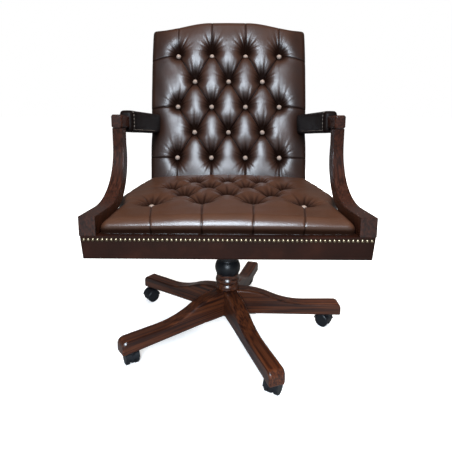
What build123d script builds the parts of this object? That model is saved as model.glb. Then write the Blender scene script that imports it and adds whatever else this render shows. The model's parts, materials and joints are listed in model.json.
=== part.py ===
from build123d import *
import os
from math import atan, atan2, cos, degrees, pi, radians, sin, sqrt, tan

os.makedirs("parts", exist_ok=True)

# Swivel armchair, millimetres. The floor is Z 0, the column stands on the Z axis,
# the sitter faces -Y and +X is the right hand of someone looking at the chair.

# Base
leg_count = 5
first_leg_angle = -70.6
base_radius = 352
leg_width = 42
tip_under = 47
tip_height = 39
hub_under = 54
hub_height = 78
hub_flat = 92
leg_bevel = 4

# Casters
caster_inset = 34
wheel_diameter = 42
wheel_width = 11
caster_web = 14
caster_trail = 15
wheel_gap = 0.5
hood_gap = 1
hood_wall = 2
stem_radius = 4
stem_depth = 36
axle_radius = 3

# Column
tube_radius = 25
tube_wall = 2.4
hub_wall = 4
cylinder_radius = 14
cylinder_wall = 2
rod_radius = 5
lift_stroke = 95
column_top = 262
collar_height = 50
collar_radius = 37
cover_radius = 39
cover_height = 58

# Seat frame
seat_width = 640
seat_front = -338
rail_under = 356
rail_height = 53
rail_thickness = 28
rail_taper = 0.076
rail_lean = 5
rail_round = 5
deck_thickness = 15

# Tilt mechanism
pivot_y = -50
pivot_rise = 6
pivot_radius = 6
tray_half_width = 55
tray_front = -138
tray_rear = 60
tray_hang = 38
sheet = 4
tension_reach = 62
lever_reach = 250

# Back
back_rake = 11.7
back_inset = 46
back_foot = 240
back_corner = 966
back_crest = 989
board_thickness = 18
back_pad = 68
back_shell = 8
button_rows = (4, 3, 4, 3, 4)
button_step = 119
button_rise = 90
button_radius = 8

# Arms
post_foot = 36
post_head = 27
post_block = 43
post_reach = 211
sweep_share = 0.684
post_bar = 28
arm_height = 648
arm_slope = 3.3
hand_width = 28
hand_height = 35
hand_length = 62
arm_pad_width = 38
arm_pad_height = 56
arm_pad_rear = 67

# Seat cushion and trim
seat_pad = 52
seat_rows = (4, 3, 4, 3)
seat_button_step = 127
seat_button_end = 100
seat_button_front = 146
seat_button_rise = 92
nail_pitch = 10
nail_radius = 4.6
nail_height = 3

# Fits
running_fit = 0.08
slip_fit = 0.2
soft_gap = 0.6

seat_top = rail_under + rail_height
pivot_z = rail_under + pivot_rise
tray_floor = rail_under - tray_hang
back_width = seat_width - back_inset * 2
taper_angle = degrees(atan(rail_taper))
hub_top = hub_under + hub_height
tip_top = tip_under + tip_height
caster_radius = base_radius - caster_inset
leg_angles = [first_leg_angle + 360 / leg_count * k for k in range(leg_count)]


def half_width(y):
    """Half the width over the side rails at depth y."""
    return seat_width / 2 - rail_taper * (y - seat_front)


def save(part, name):
    """Label one finished piece and write it to its own file."""
    part.label = name
    export_step(part, f"parts/{name}.step")


# Five legs, mitred together round the steel hub.
mitre = tan(pi / leg_count)
hub_radius = tube_radius + slip_fit + hub_wall
bolt_reach = 70
bolt_radius = 3
leg_flat = 240
leg_bend = ((hub_radius + leg_flat) / 2, (hub_top + tip_top) / 2)

with BuildPart() as leg:
    with BuildSketch(Plane.XZ):
        with BuildLine():
            hump = TangentArc((hub_radius, hub_top), leg_bend, tangent=(1, 0))
            dip = TangentArc(hump @ 1, (leg_flat, tip_top), tangent=hump % 1)
            Polyline(
                dip @ 1,
                (base_radius, tip_top),
                (base_radius, tip_under),
                (hub_flat, hub_under),
                (0, hub_under),
                (0, hub_top),
                hump @ 0,
            )
        make_face()
    extrude(amount=leg_width / 2, both=True)
    nose = leg.edges().filter_by(Axis.Y).group_by(Axis.X)[-1].sort_by(Axis.Z)
    fillet(nose[-1], tip_height * 0.42)
    fillet(leg.edges().filter_by(Axis.Y).group_by(Axis.X)[-1].sort_by(Axis.Z)[0], tip_height * 0.13)
    side_edges = leg.faces().filter_by(Axis.Y).edges()
    middle_z = tip_under + tip_height / 2
    upper_edges = side_edges.filter_by(lambda e: e.center().Z > middle_z and e.center().X > hub_radius)
    chamfer(upper_edges, leg_bevel)
    with BuildSketch():
        Polygon((0, 0), (base_radius, -base_radius * mitre), (base_radius, base_radius * mitre), align=None)
    extrude(amount=hub_top + tip_height, mode=Mode.INTERSECT)
    with BuildSketch():
        Circle(hub_radius + slip_fit)
    extrude(amount=hub_top + tip_height, mode=Mode.SUBTRACT)
    with BuildSketch():
        with Locations((caster_radius, 0)):
            Circle(stem_radius + slip_fit)
    extrude(amount=tip_under + stem_depth, mode=Mode.SUBTRACT)
    with BuildSketch():
        with Locations((bolt_reach, 0)):
            Circle(bolt_radius + slip_fit)
    extrude(amount=hub_under + hub_height / 3, mode=Mode.SUBTRACT)

for number, angle in enumerate(leg_angles, 1):
    save(Rot(0, 0, angle) * leg.part, f"base_leg_{number}")

# Steel hub: a tube that holds the gas lift and a flat spider under the legs.
spider_under = hub_under - sheet
spider_margin = 18
spider_arm = bolt_reach + spider_margin

with BuildPart() as base_hub:
    with BuildSketch(Plane.XY.offset(spider_under)):
        Circle(hub_radius)
        with PolarLocations(spider_arm / 2, leg_count, start_angle=first_leg_angle):
            Rectangle(spider_arm, leg_width * 0.6)
        with PolarLocations(bolt_reach, leg_count, start_angle=first_leg_angle):
            Circle(bolt_radius + slip_fit, mode=Mode.SUBTRACT)
    extrude(amount=sheet)
    with BuildSketch(Plane.XY.offset(spider_under)):
        Circle(hub_radius)
    extrude(amount=sheet + hub_height + collar_height / 4)
    with BuildSketch(Plane.XY.offset(spider_under)):
        Circle(tube_radius + slip_fit)
    extrude(amount=sheet + hub_height + collar_height / 4, mode=Mode.SUBTRACT)
save(base_hub.part, "base_hub")

bolt_head = 4
shank_sides = 10

with BuildPart() as leg_bolts:
    with BuildSketch(Plane.XY.offset(spider_under - bolt_head)):
        with PolarLocations(bolt_reach, leg_count, start_angle=first_leg_angle):
            RegularPolygon(bolt_radius * 2, 6)
    extrude(amount=bolt_head)
    with BuildSketch(Plane.XY.offset(spider_under)):
        with PolarLocations(bolt_reach, leg_count, start_angle=first_leg_angle):
            RegularPolygon(bolt_radius, shank_sides)
    extrude(amount=hub_height / 3)
save(leg_bolts.part, "leg_bolts")

# Turned collar with two beads where the legs meet the column.
collar_bore = hub_radius + slip_fit
collar_top = hub_top + collar_height
bead = collar_height * 0.42
bead_swell = 3
collar_core = collar_radius - bead_swell

with BuildPart() as base_collar:
    with BuildSketch(Plane.XZ):
        with BuildLine():
            Polyline(
                (collar_core, hub_top),
                (collar_radius, hub_top + bead * 0.3),
                (collar_radius, hub_top + bead * 0.7),
                (collar_core, hub_top + bead),
                (collar_radius, hub_top + bead * 1.3),
                (collar_radius, hub_top + bead * 1.6),
                (collar_core, hub_top + bead * 1.9),
                (collar_core, collar_top),
                (collar_bore, collar_top),
                (collar_bore, hub_top),
                close=True,
            )
        make_face()
    revolve(axis=Axis.Z)
save(base_collar.part, "base_collar")

# Black bulb over the lower end of the gas lift.
cover_bore = tube_radius + slip_fit
cover_foot = collar_core - 1
cover_neck = tube_radius + 6
cover_lip = tube_radius + 2

with BuildPart() as column_cover:
    with BuildSketch(Plane.XZ):
        with BuildLine():
            bulb = ThreePointArc(
                (cover_foot, collar_top),
                (cover_radius, collar_top + cover_height * 0.3),
                (cover_neck, collar_top + cover_height * 0.72),
            )
            Polyline(
                bulb @ 1,
                (cover_lip, collar_top + cover_height),
                (cover_bore, collar_top + cover_height),
                (cover_bore, collar_top),
                bulb @ 0,
            )
        make_face()
    revolve(axis=Axis.Z)
save(column_cover.part, "column_cover")

# Gas lift: fixed outer tube, plastic guide, turning rod and the sliding cylinder.
tube_step = 2
tube_under = spider_under + tube_step
tube_floor = 6
tube_bore = tube_radius - tube_wall

with BuildPart() as gas_lift_tube:
    with BuildSketch(Plane.XY.offset(tube_under)):
        Circle(tube_radius)
        Circle(rod_radius + running_fit, mode=Mode.SUBTRACT)
    extrude(amount=column_top - tube_under)
    with BuildSketch(Plane.XY.offset(tube_under + tube_floor)):
        Circle(tube_bore)
    extrude(amount=column_top - tube_under, mode=Mode.SUBTRACT)
save(gas_lift_tube.part, "gas_lift_tube")

guide_length = 72
guide_rim = 4

with BuildPart() as guide_bush:
    with BuildSketch(Plane.XY.offset(column_top - guide_length)):
        Circle(tube_bore - slip_fit)
    extrude(amount=guide_length)
    with BuildSketch(Plane.XY.offset(column_top)):
        Circle(tube_radius)
    extrude(amount=guide_rim)
    with BuildSketch(Plane.XY.offset(column_top - guide_length)):
        Circle(cylinder_radius + running_fit)
    extrude(amount=guide_length + guide_rim, mode=Mode.SUBTRACT)
save(guide_bush.part, "guide_bush")

bearing_height = 8
bearing_under = tube_under + tube_floor

with BuildPart() as thrust_bearing:
    with BuildSketch(Plane.XY.offset(bearing_under)):
        Circle(rod_radius * 3)
        Circle(rod_radius + running_fit, mode=Mode.SUBTRACT)
    extrude(amount=bearing_height)
save(thrust_bearing.part, "thrust_bearing")

cylinder_bore = cylinder_radius - cylinder_wall
cylinder_end = 8
cylinder_clear = 42
stroke_spare = 3
cylinder_under = bearing_under + bearing_height + cylinder_clear
piston_under = cylinder_under + cylinder_end + lift_stroke + stroke_spare
piston_height = 8
clip_height = 3

with BuildPart() as piston_rod:
    with BuildSketch(Plane.XY.offset(tube_under - clip_height)):
        Circle(rod_radius)
    extrude(amount=piston_under + piston_height - tube_under + clip_height)
    with BuildSketch(Plane.XY.offset(tube_under - clip_height)):
        Circle(rod_radius * 1.8)
    extrude(amount=clip_height)
    with BuildSketch(Plane.XY.offset(bearing_under + bearing_height)):
        Circle(rod_radius * 1.8)
    extrude(amount=clip_height)
    with BuildSketch(Plane.XY.offset(piston_under)):
        Circle(cylinder_bore - running_fit)
    extrude(amount=piston_height)
save(piston_rod.part, "piston_rod")

valve_radius = 3
socket_drop = 20
socket_rise = 10
socket_wall = 7
socket_taper = 0.7
cylinder_stand = 3
socket_under = tray_floor - socket_drop
socket_top = tray_floor + sheet + socket_rise
cylinder_top = socket_top + cylinder_stand
cylinder_tip = cylinder_radius - socket_taper

with BuildPart() as gas_lift_cylinder:
    with BuildSketch(Plane.XZ):
        Polygon(
            (rod_radius + running_fit, cylinder_under),
            (cylinder_radius, cylinder_under),
            (cylinder_radius, socket_under),
            (cylinder_tip, cylinder_top),
            (valve_radius + running_fit, cylinder_top),
            (valve_radius + running_fit, cylinder_top - cylinder_end),
            (cylinder_bore, cylinder_top - cylinder_end),
            (cylinder_bore, cylinder_under + cylinder_end),
            (rod_radius + running_fit, cylinder_under + cylinder_end),
            align=None,
        )
    revolve(axis=Axis.Z)
save(gas_lift_cylinder.part, "gas_lift_cylinder")

# Tilt mechanism: a steel tray on the cylinder, and the seat plate that rocks on its pin.
lever_thickness = 6
lever_width = 14
lever_play = 1
lever_clear = 9
lever_under = cylinder_top + lever_clear
wall_top = pivot_z + pivot_radius * 2
wall_step = 8
wall_rear = pivot_z - wall_step
wall_slope = 30
wall_nose = 20
tension_y = pivot_y - tension_reach
slot_length = 28
slot_width = 14
tray_middle = (tray_front + tray_rear) / 2

with BuildPart() as mechanism_housing:
    with BuildSketch(Plane.XY.offset(tray_floor)):
        with Locations((0, tray_middle)):
            Rectangle(tray_half_width * 2, tray_rear - tray_front)
        with Locations((0, tension_y - slot_length / 4)):
            Rectangle(slot_width, slot_length, mode=Mode.SUBTRACT)
    extrude(amount=sheet)
    for wall_x in (-tray_half_width, tray_half_width - sheet):
        with BuildSketch(Plane.YZ.offset(wall_x)):
            Polygon(
                (tray_front, tray_floor),
                (tray_rear, tray_floor),
                (tray_rear, wall_rear),
                (pivot_y + wall_slope, wall_top),
                (tray_front + wall_nose, wall_top),
                (tray_front, tray_floor + sheet * 4),
                align=None,
            )
            with Locations((pivot_y, pivot_z)):
                Circle(pivot_radius + slip_fit, mode=Mode.SUBTRACT)
        extrude(amount=sheet)
    with BuildSketch(Plane.YZ.offset(-tray_half_width)):
        with Locations((0, lever_under + lever_thickness / 2)):
            Rectangle(lever_width + lever_play, lever_thickness + lever_play)
    extrude(amount=sheet, mode=Mode.SUBTRACT)
    with BuildSketch(Plane.XY.offset(socket_under)):
        Circle(cylinder_radius + socket_wall)
    extrude(amount=socket_top - socket_under)
    with BuildSketch(Plane.XZ):
        Polygon(
            (0, socket_under),
            (cylinder_radius + running_fit, socket_under),
            (cylinder_tip + running_fit, cylinder_top),
            (0, cylinder_top),
            align=None,
        )
    revolve(axis=Axis.Z, mode=Mode.SUBTRACT)
save(mechanism_housing.part, "mechanism_housing")

ear_gap = 0.5
pin_spare = 3
pin_half = tray_half_width + ear_gap + sheet + pin_spare

with BuildPart() as tilt_pin:
    with BuildSketch(Plane.YZ.offset(-pin_half)):
        with Locations((pivot_y, pivot_z)):
            Circle(pivot_radius)
    extrude(amount=pin_half * 2)
save(tilt_pin.part, "tilt_pin")

deck_under = seat_top - deck_thickness
plate_under = deck_under - sheet
plate_half = tray_half_width + 25
plate_front = tray_front - 12
plate_rear = tray_rear + 15
bolt_margin = 14
ear_half = pivot_radius + 10
frame_bolts_at = [
    (side * (plate_half - bolt_margin), y)
    for side in (-1, 1)
    for y in (plate_front + bolt_margin, plate_rear - bolt_margin)
]

knob_radius = 21
knob_height = 20
knob_bevel = 2.5
spring_length = 30
knob_top = tray_floor - spring_length
bolt_end = knob_top - knob_height

with BuildPart() as seat_plate:
    with BuildSketch(Plane.XY.offset(plate_under)):
        with Locations((0, (plate_front + plate_rear) / 2)):
            Rectangle(plate_half * 2, plate_rear - plate_front)
        with Locations(*frame_bolts_at):
            Circle(bolt_radius + slip_fit, mode=Mode.SUBTRACT)
    extrude(amount=sheet)
    for ear_x in (-tray_half_width - ear_gap - sheet, tray_half_width + ear_gap):
        with BuildSketch(Plane.YZ.offset(ear_x)):
            Polygon(
                (pivot_y - ear_half * 1.6, plate_under),
                (pivot_y - ear_half * 0.6, pivot_z - ear_half * 0.8),
                (pivot_y + ear_half * 0.6, pivot_z - ear_half * 0.8),
                (pivot_y + ear_half * 1.6, plate_under),
                align=None,
            )
            with Locations((pivot_y, pivot_z)):
                Circle(pivot_radius + running_fit, mode=Mode.SUBTRACT)
        extrude(amount=sheet)
    with BuildSketch(Plane.XY.offset(bolt_end)):
        with Locations((0, tension_y)):
            Circle(rod_radius)
    extrude(amount=plate_under - bolt_end)
save(seat_plate.part, "seat_plate")

with BuildPart() as tension_knob:
    with BuildSketch(Plane.XY.offset(bolt_end)):
        with Locations((0, tension_y)):
            Circle(knob_radius)
            Circle(rod_radius + running_fit, mode=Mode.SUBTRACT)
    extrude(amount=knob_height)
    chamfer(tension_knob.edges().filter_by(GeomType.CIRCLE).sort_by(SortBy.RADIUS)[-2:], knob_bevel)
save(tension_knob.part, "tension_knob")

spring_wire = 4
spring_radius = 10
spring_turns = 3.5
spring_play = 0.1

with BuildPart() as tilt_spring:
    with BuildLine() as coil:
        Helix(
            (spring_length - spring_wire) / spring_turns,
            spring_length - spring_wire - spring_play * 2,
            spring_radius,
            center=(0, tension_y, knob_top + spring_wire / 2 + spring_play),
        )
    with BuildSketch(Plane(origin=coil.line @ 0, x_dir=(1, 0, 0), z_dir=coil.line % 0)):
        Rectangle(spring_wire, spring_wire * 0.9)
    sweep(is_frenet=True)
save(tilt_spring.part, "tilt_spring")

lever_drop = 28
lever_bend = tray_half_width + 10
lever_knee = lever_bend + lever_drop * 1.6
grip_length = 48
grip_swell = 2
lever_low = lever_under - lever_drop
bead_stand = 0.3

with BuildPart() as height_lever:
    with BuildSketch(Plane.XZ):
        Polygon(
            (valve_radius * 3, lever_under),
            (valve_radius * 3, lever_under + lever_thickness),
            (-lever_bend, lever_under + lever_thickness),
            (-lever_knee, lever_low + lever_thickness),
            (-lever_reach, lever_low + lever_thickness),
            (-lever_reach, lever_low),
            (-lever_knee, lever_low),
            (-lever_bend, lever_under),
            align=None,
        )
    extrude(amount=lever_width / 2, both=True)
    with BuildSketch(Plane.XY.offset(lever_low - grip_swell)):
        with Locations((grip_length / 2 - lever_reach, 0)):
            RectangleRounded(grip_length, lever_width * 1.6, lever_width * 0.7)
    extrude(amount=lever_thickness + grip_swell * 2)
    with BuildSketch(Plane.XZ.offset(-lever_width / 2)):
        with Locations((sheet / 2 - tray_half_width, lever_under + lever_thickness / 2)):
            Circle(lever_thickness / 2 + bead_stand)
    extrude(amount=lever_width)
save(height_lever.part, "height_lever")

valve_gap = 0.4
valve_foot = 4
valve_under = cylinder_top - cylinder_end - valve_foot

with BuildPart() as valve_pin:
    with BuildSketch(Plane.XY.offset(valve_under)):
        Circle(valve_radius)
    extrude(amount=lever_under - valve_gap - valve_under)
save(valve_pin.part, "valve_pin")

# Seat frame: four leather-covered rails round a plywood deck.
rake = radians(back_rake)


def rake_y(z, forward):
    """Depth at height z of the plane that lies so far forward of the back board's face."""
    return back_foot + (z - seat_top) * tan(rake) - forward / cos(rake)


back_plane = Plane(
    origin=(0, back_foot, seat_top),
    x_dir=(1, 0, 0),
    z_dir=(0, -cos(rake), sin(rake)),
)
side_front = seat_front + rail_thickness
rail_back = -board_thickness - rail_thickness

with BuildPart() as seat_rail_front:
    with BuildSketch(Plane.XZ.offset(-seat_front)):
        Polygon(
            (-seat_width / 2, seat_top),
            (-seat_width / 2 + rail_lean, rail_under),
            (seat_width / 2 - rail_lean, rail_under),
            (seat_width / 2, seat_top),
            align=None,
        )
    extrude(amount=-rail_thickness)
    face_edges = seat_rail_front.edges().group_by(Axis.Y)[0]
    fillet(face_edges.sort_by(Axis.Z)[:-1], rail_round)
save(seat_rail_front.part, "seat_rail_front")

with BuildPart() as seat_rail_right:
    for z, lean in ((rail_under, rail_lean), (seat_top, 0)):
        rear = rake_y(z, rail_back)
        with BuildSketch(Plane.XY.offset(z)):
            Polygon(
                (half_width(side_front) - rail_thickness, side_front),
                (half_width(side_front) - lean, side_front),
                (half_width(rear) - lean, rear),
                (half_width(rear) - rail_thickness, rear),
                align=None,
            )
    loft(ruled=True)
save(seat_rail_right.part, "seat_rail_right")

with BuildPart() as seat_rail_left:
    mirror(seat_rail_right.part, about=Plane.YZ)
save(seat_rail_left.part, "seat_rail_left")

with BuildPart() as seat_rail_back:
    for z in (rail_under, seat_top):
        front = rake_y(z, -board_thickness)
        rear = rake_y(z, rail_back)
        with BuildSketch(Plane.XY.offset(z)):
            Polygon(
                (rail_thickness - half_width(front), front),
                (half_width(front) - rail_thickness, front),
                (half_width(rear) - rail_thickness, rear),
                (rail_thickness - half_width(rear), rear),
                align=None,
            )
    loft(ruled=True)
save(seat_rail_back.part, "seat_rail_back")

deck_rear = rake_y(deck_under, 0)

with BuildPart() as seat_deck:
    with BuildSketch(Plane.XY.offset(deck_under)):
        Polygon(
            (rail_thickness - half_width(side_front), side_front),
            (half_width(side_front) - rail_thickness, side_front),
            (half_width(deck_rear) - rail_thickness, deck_rear),
            (rail_thickness - half_width(deck_rear), deck_rear),
            align=None,
        )
        with Locations(*frame_bolts_at):
            Circle(bolt_radius + slip_fit, mode=Mode.SUBTRACT)
    extrude(amount=deck_thickness)
save(seat_deck.part, "seat_deck")

with BuildPart() as frame_bolts:
    with BuildSketch(Plane.XY.offset(plate_under - bolt_head)):
        with Locations(*frame_bolts_at):
            RegularPolygon(bolt_radius * 2, 6)
    extrude(amount=bolt_head)
    with BuildSketch(Plane.XY.offset(plate_under)):
        with Locations(*frame_bolts_at):
            RegularPolygon(bolt_radius, shank_sides)
    extrude(amount=sheet + deck_thickness)
save(frame_bolts.part, "frame_bolts")

# Arms: a swept post from the front corner, a hand rest of bare wood and a leather sleeve.
turn = radians(taper_angle)
slope = radians(arm_slope)
inward = (-cos(turn), -sin(turn), 0)
backward = (-sin(turn), cos(turn), 0)
block_top = seat_top + post_block
post_sweep = (arm_height - block_top) * sweep_share
hand_front = seat_front + post_reach

post_plane = Plane(
    origin=(seat_width / 2, seat_front, 0),
    x_dir=backward,
    z_dir=(cos(turn), sin(turn), 0),
)
post_front_plane = Plane(origin=(seat_width / 2, seat_front, 0), x_dir=inward, z_dir=backward)
arm_plane = Plane(
    origin=(half_width(hand_front) - hand_width / 2, hand_front, arm_height),
    x_dir=inward,
    z_dir=(-sin(turn) * cos(slope), cos(turn) * cos(slope), -sin(slope)),
)
arm_under = Plane(
    origin=arm_plane.origin - arm_plane.y_dir * (hand_height / 2),
    z_dir=arm_plane.y_dir,
)
post_setback = 8
post_face = post_reach + post_setback
sweep_start = post_face - post_sweep
sweep_z = block_top + post_sweep
outer_sweep = post_sweep + post_bar
foot_angle = radians(22)

with BuildPart() as arm_post_right:
    with BuildSketch(post_plane):
        with BuildLine():
            inner = RadiusArc((sweep_start, block_top), (post_face, sweep_z), -post_sweep)
            outer = RadiusArc(
                (post_face + post_bar, sweep_z),
                (sweep_start + outer_sweep * sin(foot_angle), sweep_z - outer_sweep * cos(foot_angle)),
                outer_sweep,
            )
            Polyline(
                outer @ 1,
                (sweep_start + post_bar, seat_top),
                (-post_bar, seat_top),
                (-post_bar, block_top),
                inner @ 0,
            )
            Polyline(
                inner @ 1,
                (post_face, arm_height),
                (post_face + post_bar, arm_height),
                outer @ 0,
            )
        make_face()
    extrude(amount=-post_foot)
    with BuildSketch(post_front_plane.offset(-post_bar * 2)):
        Polygon(
            (0, seat_top),
            (post_foot, seat_top),
            (post_foot, block_top),
            (post_head, sweep_z),
            (post_head, arm_height),
            (0, arm_height),
            align=None,
        )
    extrude(amount=post_reach * 2, mode=Mode.INTERSECT)
    split(bisect_by=Plane.XZ.offset(-seat_front), keep=Keep.BOTTOM)
    split(bisect_by=arm_under, keep=Keep.BOTTOM)
save(arm_post_right.part, "arm_post_right")

with BuildPart() as arm_post_left:
    mirror(arm_post_right.part, about=Plane.YZ)
save(arm_post_left.part, "arm_post_left")

core_width = hand_width - 6
core_height = hand_height - 7
hand_round = 4
hand_nose = 3
arm_run = (rake_y(arm_height, 0) - hand_front) / cos(turn) - hand_length + arm_pad_rear
waist_share = 0.4

with BuildPart() as arm_rail_right:
    with BuildSketch(arm_plane.offset(-hand_width / 2)) as hand_section:
        Rectangle(hand_width, hand_height)
        chamfer(hand_section.vertices(), hand_round)
    extrude(amount=hand_length + hand_width / 2)
    split(bisect_by=Plane.XZ.offset(-hand_front), keep=Keep.BOTTOM)
    chamfer(arm_rail_right.faces().sort_by(Axis.Y)[0].edges(), hand_nose)
    with BuildSketch(arm_plane.offset(hand_length)):
        Rectangle(core_width, core_height)
    extrude(amount=arm_run)
    split(bisect_by=back_plane, keep=Keep.TOP)
save(arm_rail_right.part, "arm_rail_right")

with BuildPart() as arm_rail_left:
    mirror(arm_rail_right.part, about=Plane.YZ)
save(arm_rail_left.part, "arm_rail_left")

pad_overhang = 1.5
pad_shift = (arm_pad_width - hand_width) / 2 - pad_overhang
pad_round = 12
pad_bevel = 4
pad_waist = 2
waist_height = (arm_pad_height + arm_pad_rear) / 2 - pad_waist


def arm_sleeve(grow):
    """Leather sleeve of the right arm, swollen by grow on every side."""
    with BuildPart() as sleeve:
        for along, width, height in (
            (hand_length - grow, arm_pad_width - pad_waist, arm_pad_height),
            (hand_length + arm_run * waist_share, arm_pad_width, waist_height),
            (hand_length + arm_run, arm_pad_width, arm_pad_rear),
        ):
            with BuildSketch(arm_plane.offset(along)):
                with Locations((pad_shift, 0)):
                    RectangleRounded(width + grow * 2, height + grow * 2, pad_round + grow)
        loft(ruled=True)
        split(bisect_by=back_plane, keep=Keep.TOP)
    return sleeve.part


with BuildPart() as arm_pad_right:
    add(arm_sleeve(0))
    chamfer(arm_pad_right.faces().sort_by(Axis.Y)[0].edges(), pad_bevel)
    add(arm_rail_right.part, mode=Mode.SUBTRACT)
save(arm_pad_right.part, "arm_pad_right")

with BuildPart() as arm_pad_left:
    mirror(arm_pad_right.part, about=Plane.YZ)
save(arm_pad_left.part, "arm_pad_left")

# Back: a plywood board with a camel top, the deep-buttoned pad and the plain outer cover.
pad_lift = back_pad * sin(rake)
corner_rise = (back_corner - pad_lift - seat_top) / cos(rake)
crest_rise = (back_crest - pad_lift - seat_top) / cos(rake)
shoulder_lift = 5


def camel_face(plane, inset, foot):
    """Outline of the back with its humped top, drawn in by inset."""
    half = back_width / 2 - inset
    shoulder = corner_rise - inset
    crest = crest_rise - inset
    with BuildSketch(plane) as outline:
        with BuildLine():
            hump = Spline(
                (-half, shoulder),
                (-half * 0.66, shoulder + shoulder_lift),
                (-half * 0.25, crest),
                (half * 0.25, crest),
                (half * 0.66, shoulder + shoulder_lift),
                (half, shoulder),
            )
            Polyline(hump @ 1, (half, foot), (-half, foot), hump @ 0)
        make_face()
    return outline.sketch


board_inset = 8
cover_inset = 3
board_foot = (rail_under - seat_top) / cos(rake)
tongue_gap = 1
tongue_half = half_width(rake_y(seat_top, rail_back)) - rail_thickness - tongue_gap

with BuildPart() as back_board:
    extrude(camel_face(back_plane, board_inset, -board_thickness), amount=-board_thickness)
    split(bisect_by=Plane.XY.offset(seat_top), keep=Keep.TOP)
    with BuildSketch(back_plane):
        Polygon(
            (-tongue_half, board_foot),
            (tongue_half, board_foot),
            (tongue_half, board_thickness),
            (-tongue_half, board_thickness),
            align=None,
        )
    extrude(amount=-board_thickness)
    split(bisect_by=Plane.XY.offset(rail_under), keep=Keep.TOP)
save(back_board.part, "back_board")

back_axis = Axis((0, 0, 0), tuple(back_plane.z_dir))

with BuildPart() as back_cover:
    cover_plane = back_plane.offset(-board_thickness)
    extrude(camel_face(cover_plane, cover_inset, -board_thickness), amount=-back_shell)
    rear_face = back_cover.faces().sort_by(back_axis)[0]
    chamfer(rear_face.edges(), back_shell * 0.5)
    split(bisect_by=Plane.XY.offset(seat_top), keep=Keep.TOP)
save(back_cover.part, "back_cover")

first_row = 99
back_buttons = []
for row, count in enumerate(button_rows):
    for column in range(count):
        back_buttons.append(
            (
                (column - (count - 1) / 2) * button_step,
                corner_rise - first_row - row * button_rise,
            )
        )


def pleats(points, step, rise):
    """Pairs of neighbouring buttons that a sewn pleat joins, half a step over and one row up."""
    pairs = []
    for a in points:
        for b in points:
            over = abs(a[0] - b[0])
            up = b[1] - a[1]
            if rise * 0.5 < up < rise * 1.5 and step * 0.2 < over < step * 0.8:
                pairs.append((a, b))
    return pairs


def heading(a, b):
    """Direction from a to b on the face, in degrees."""
    return degrees(atan2(b[1] - a[1], b[0] - a[0]))


def middle(a, b):
    """Point halfway between a and b."""
    return ((a[0] + b[0]) / 2, (a[1] + b[1]) / 2)


def span(a, b):
    """Distance from a to b."""
    return sqrt((b[0] - a[0]) ** 2 + (b[1] - a[1]) ** 2)


def cross_plane(plane, point, angle):
    """Plane that stands across a pleat at point, its normal along the pleat."""
    return Plane(plane.location * Location((point[0], point[1], 0), angle) * Plane.YZ.location)


pleat_mouth = 9
pleat_depth = 17
tuft_depth = 28
tuft_mouth = 30
tuft_floor = button_radius + 1
tuft_sides = 8
tuft_flare = degrees(atan((tuft_mouth - tuft_floor) / tuft_depth))
crown_radius = 3600
soft_bevel = 12
side_round = 22
edge_pleats = []
for x, v in back_buttons:
    if abs(x) > button_step * 1.2:
        edge_pleats.append(((x, v), (x * 2, v)))
    if v == back_buttons[0][1]:
        edge_pleats.append(((x, v), (x * 1.03, v + first_row)))
    if v == back_buttons[-1][1]:
        edge_pleats.append(((x, v), (x, v - first_row)))
inner_pleats = pleats(back_buttons, button_step, button_rise)
pleat_floor = back_plane.offset(back_pad - pleat_depth)
back_middle = corner_rise * 0.52
sleeve_right = arm_sleeve(soft_gap)

with BuildPart() as back_cushion:
    extrude(camel_face(back_plane, 0, -back_pad), amount=back_pad * 1.2)
    fillet(back_cushion.edges().filter_by(back_axis), side_round)
    with Locations(back_plane.offset(back_pad - crown_radius).location * Location((0, back_middle, 0))):
        Sphere(crown_radius, mode=Mode.INTERSECT)
    rim = back_cushion.faces().sort_by(back_axis)[-1].edges()
    chamfer(rim, soft_bevel)
    with BuildSketch(*[cross_plane(pleat_floor, middle(a, b), heading(a, b)) for a, b in inner_pleats]):
        Polygon((0, 0), (pleat_mouth, pleat_depth), (-pleat_mouth, pleat_depth), align=None)
    extrude(amount=span(*inner_pleats[0]) / 2, both=True, mode=Mode.SUBTRACT)
    with BuildSketch(*[cross_plane(pleat_floor, a, heading(a, b)) for a, b in edge_pleats]):
        Polygon((0, 0), (pleat_mouth, pleat_depth), (-pleat_mouth, pleat_depth), align=None)
    extrude(amount=back_width / 2, mode=Mode.SUBTRACT)
    with BuildSketch(back_plane.offset(back_pad - tuft_depth)):
        with Locations(*back_buttons):
            RegularPolygon(tuft_floor, tuft_sides)
    extrude(amount=tuft_depth, taper=-tuft_flare, mode=Mode.SUBTRACT)
    add(sleeve_right, mode=Mode.SUBTRACT)
    add(mirror(sleeve_right, about=Plane.YZ, mode=Mode.PRIVATE), mode=Mode.SUBTRACT)
    split(bisect_by=Plane.XY.offset(seat_top), keep=Keep.TOP)
save(back_cushion.part, "back_cushion")

# Seat cushion: crowned, notched round the posts and buttoned like the back.
seat_edge = 3
seat_crevice = 2
notch_margin = 30
notch_run = 45
seat_soft_front = seat_front + seat_edge
seat_soft_rear = rake_y(seat_top, back_pad) - seat_crevice
notch_start = seat_front + post_face - notch_margin
notch_end = notch_start + notch_run
seat_middle = (seat_soft_front + seat_soft_rear) / 2
seat_crown_radius = 2600


def inside_post(y):
    """Half the width left between the arm posts at depth y."""
    return half_width(y) - post_foot / cos(turn) - soft_gap


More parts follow.
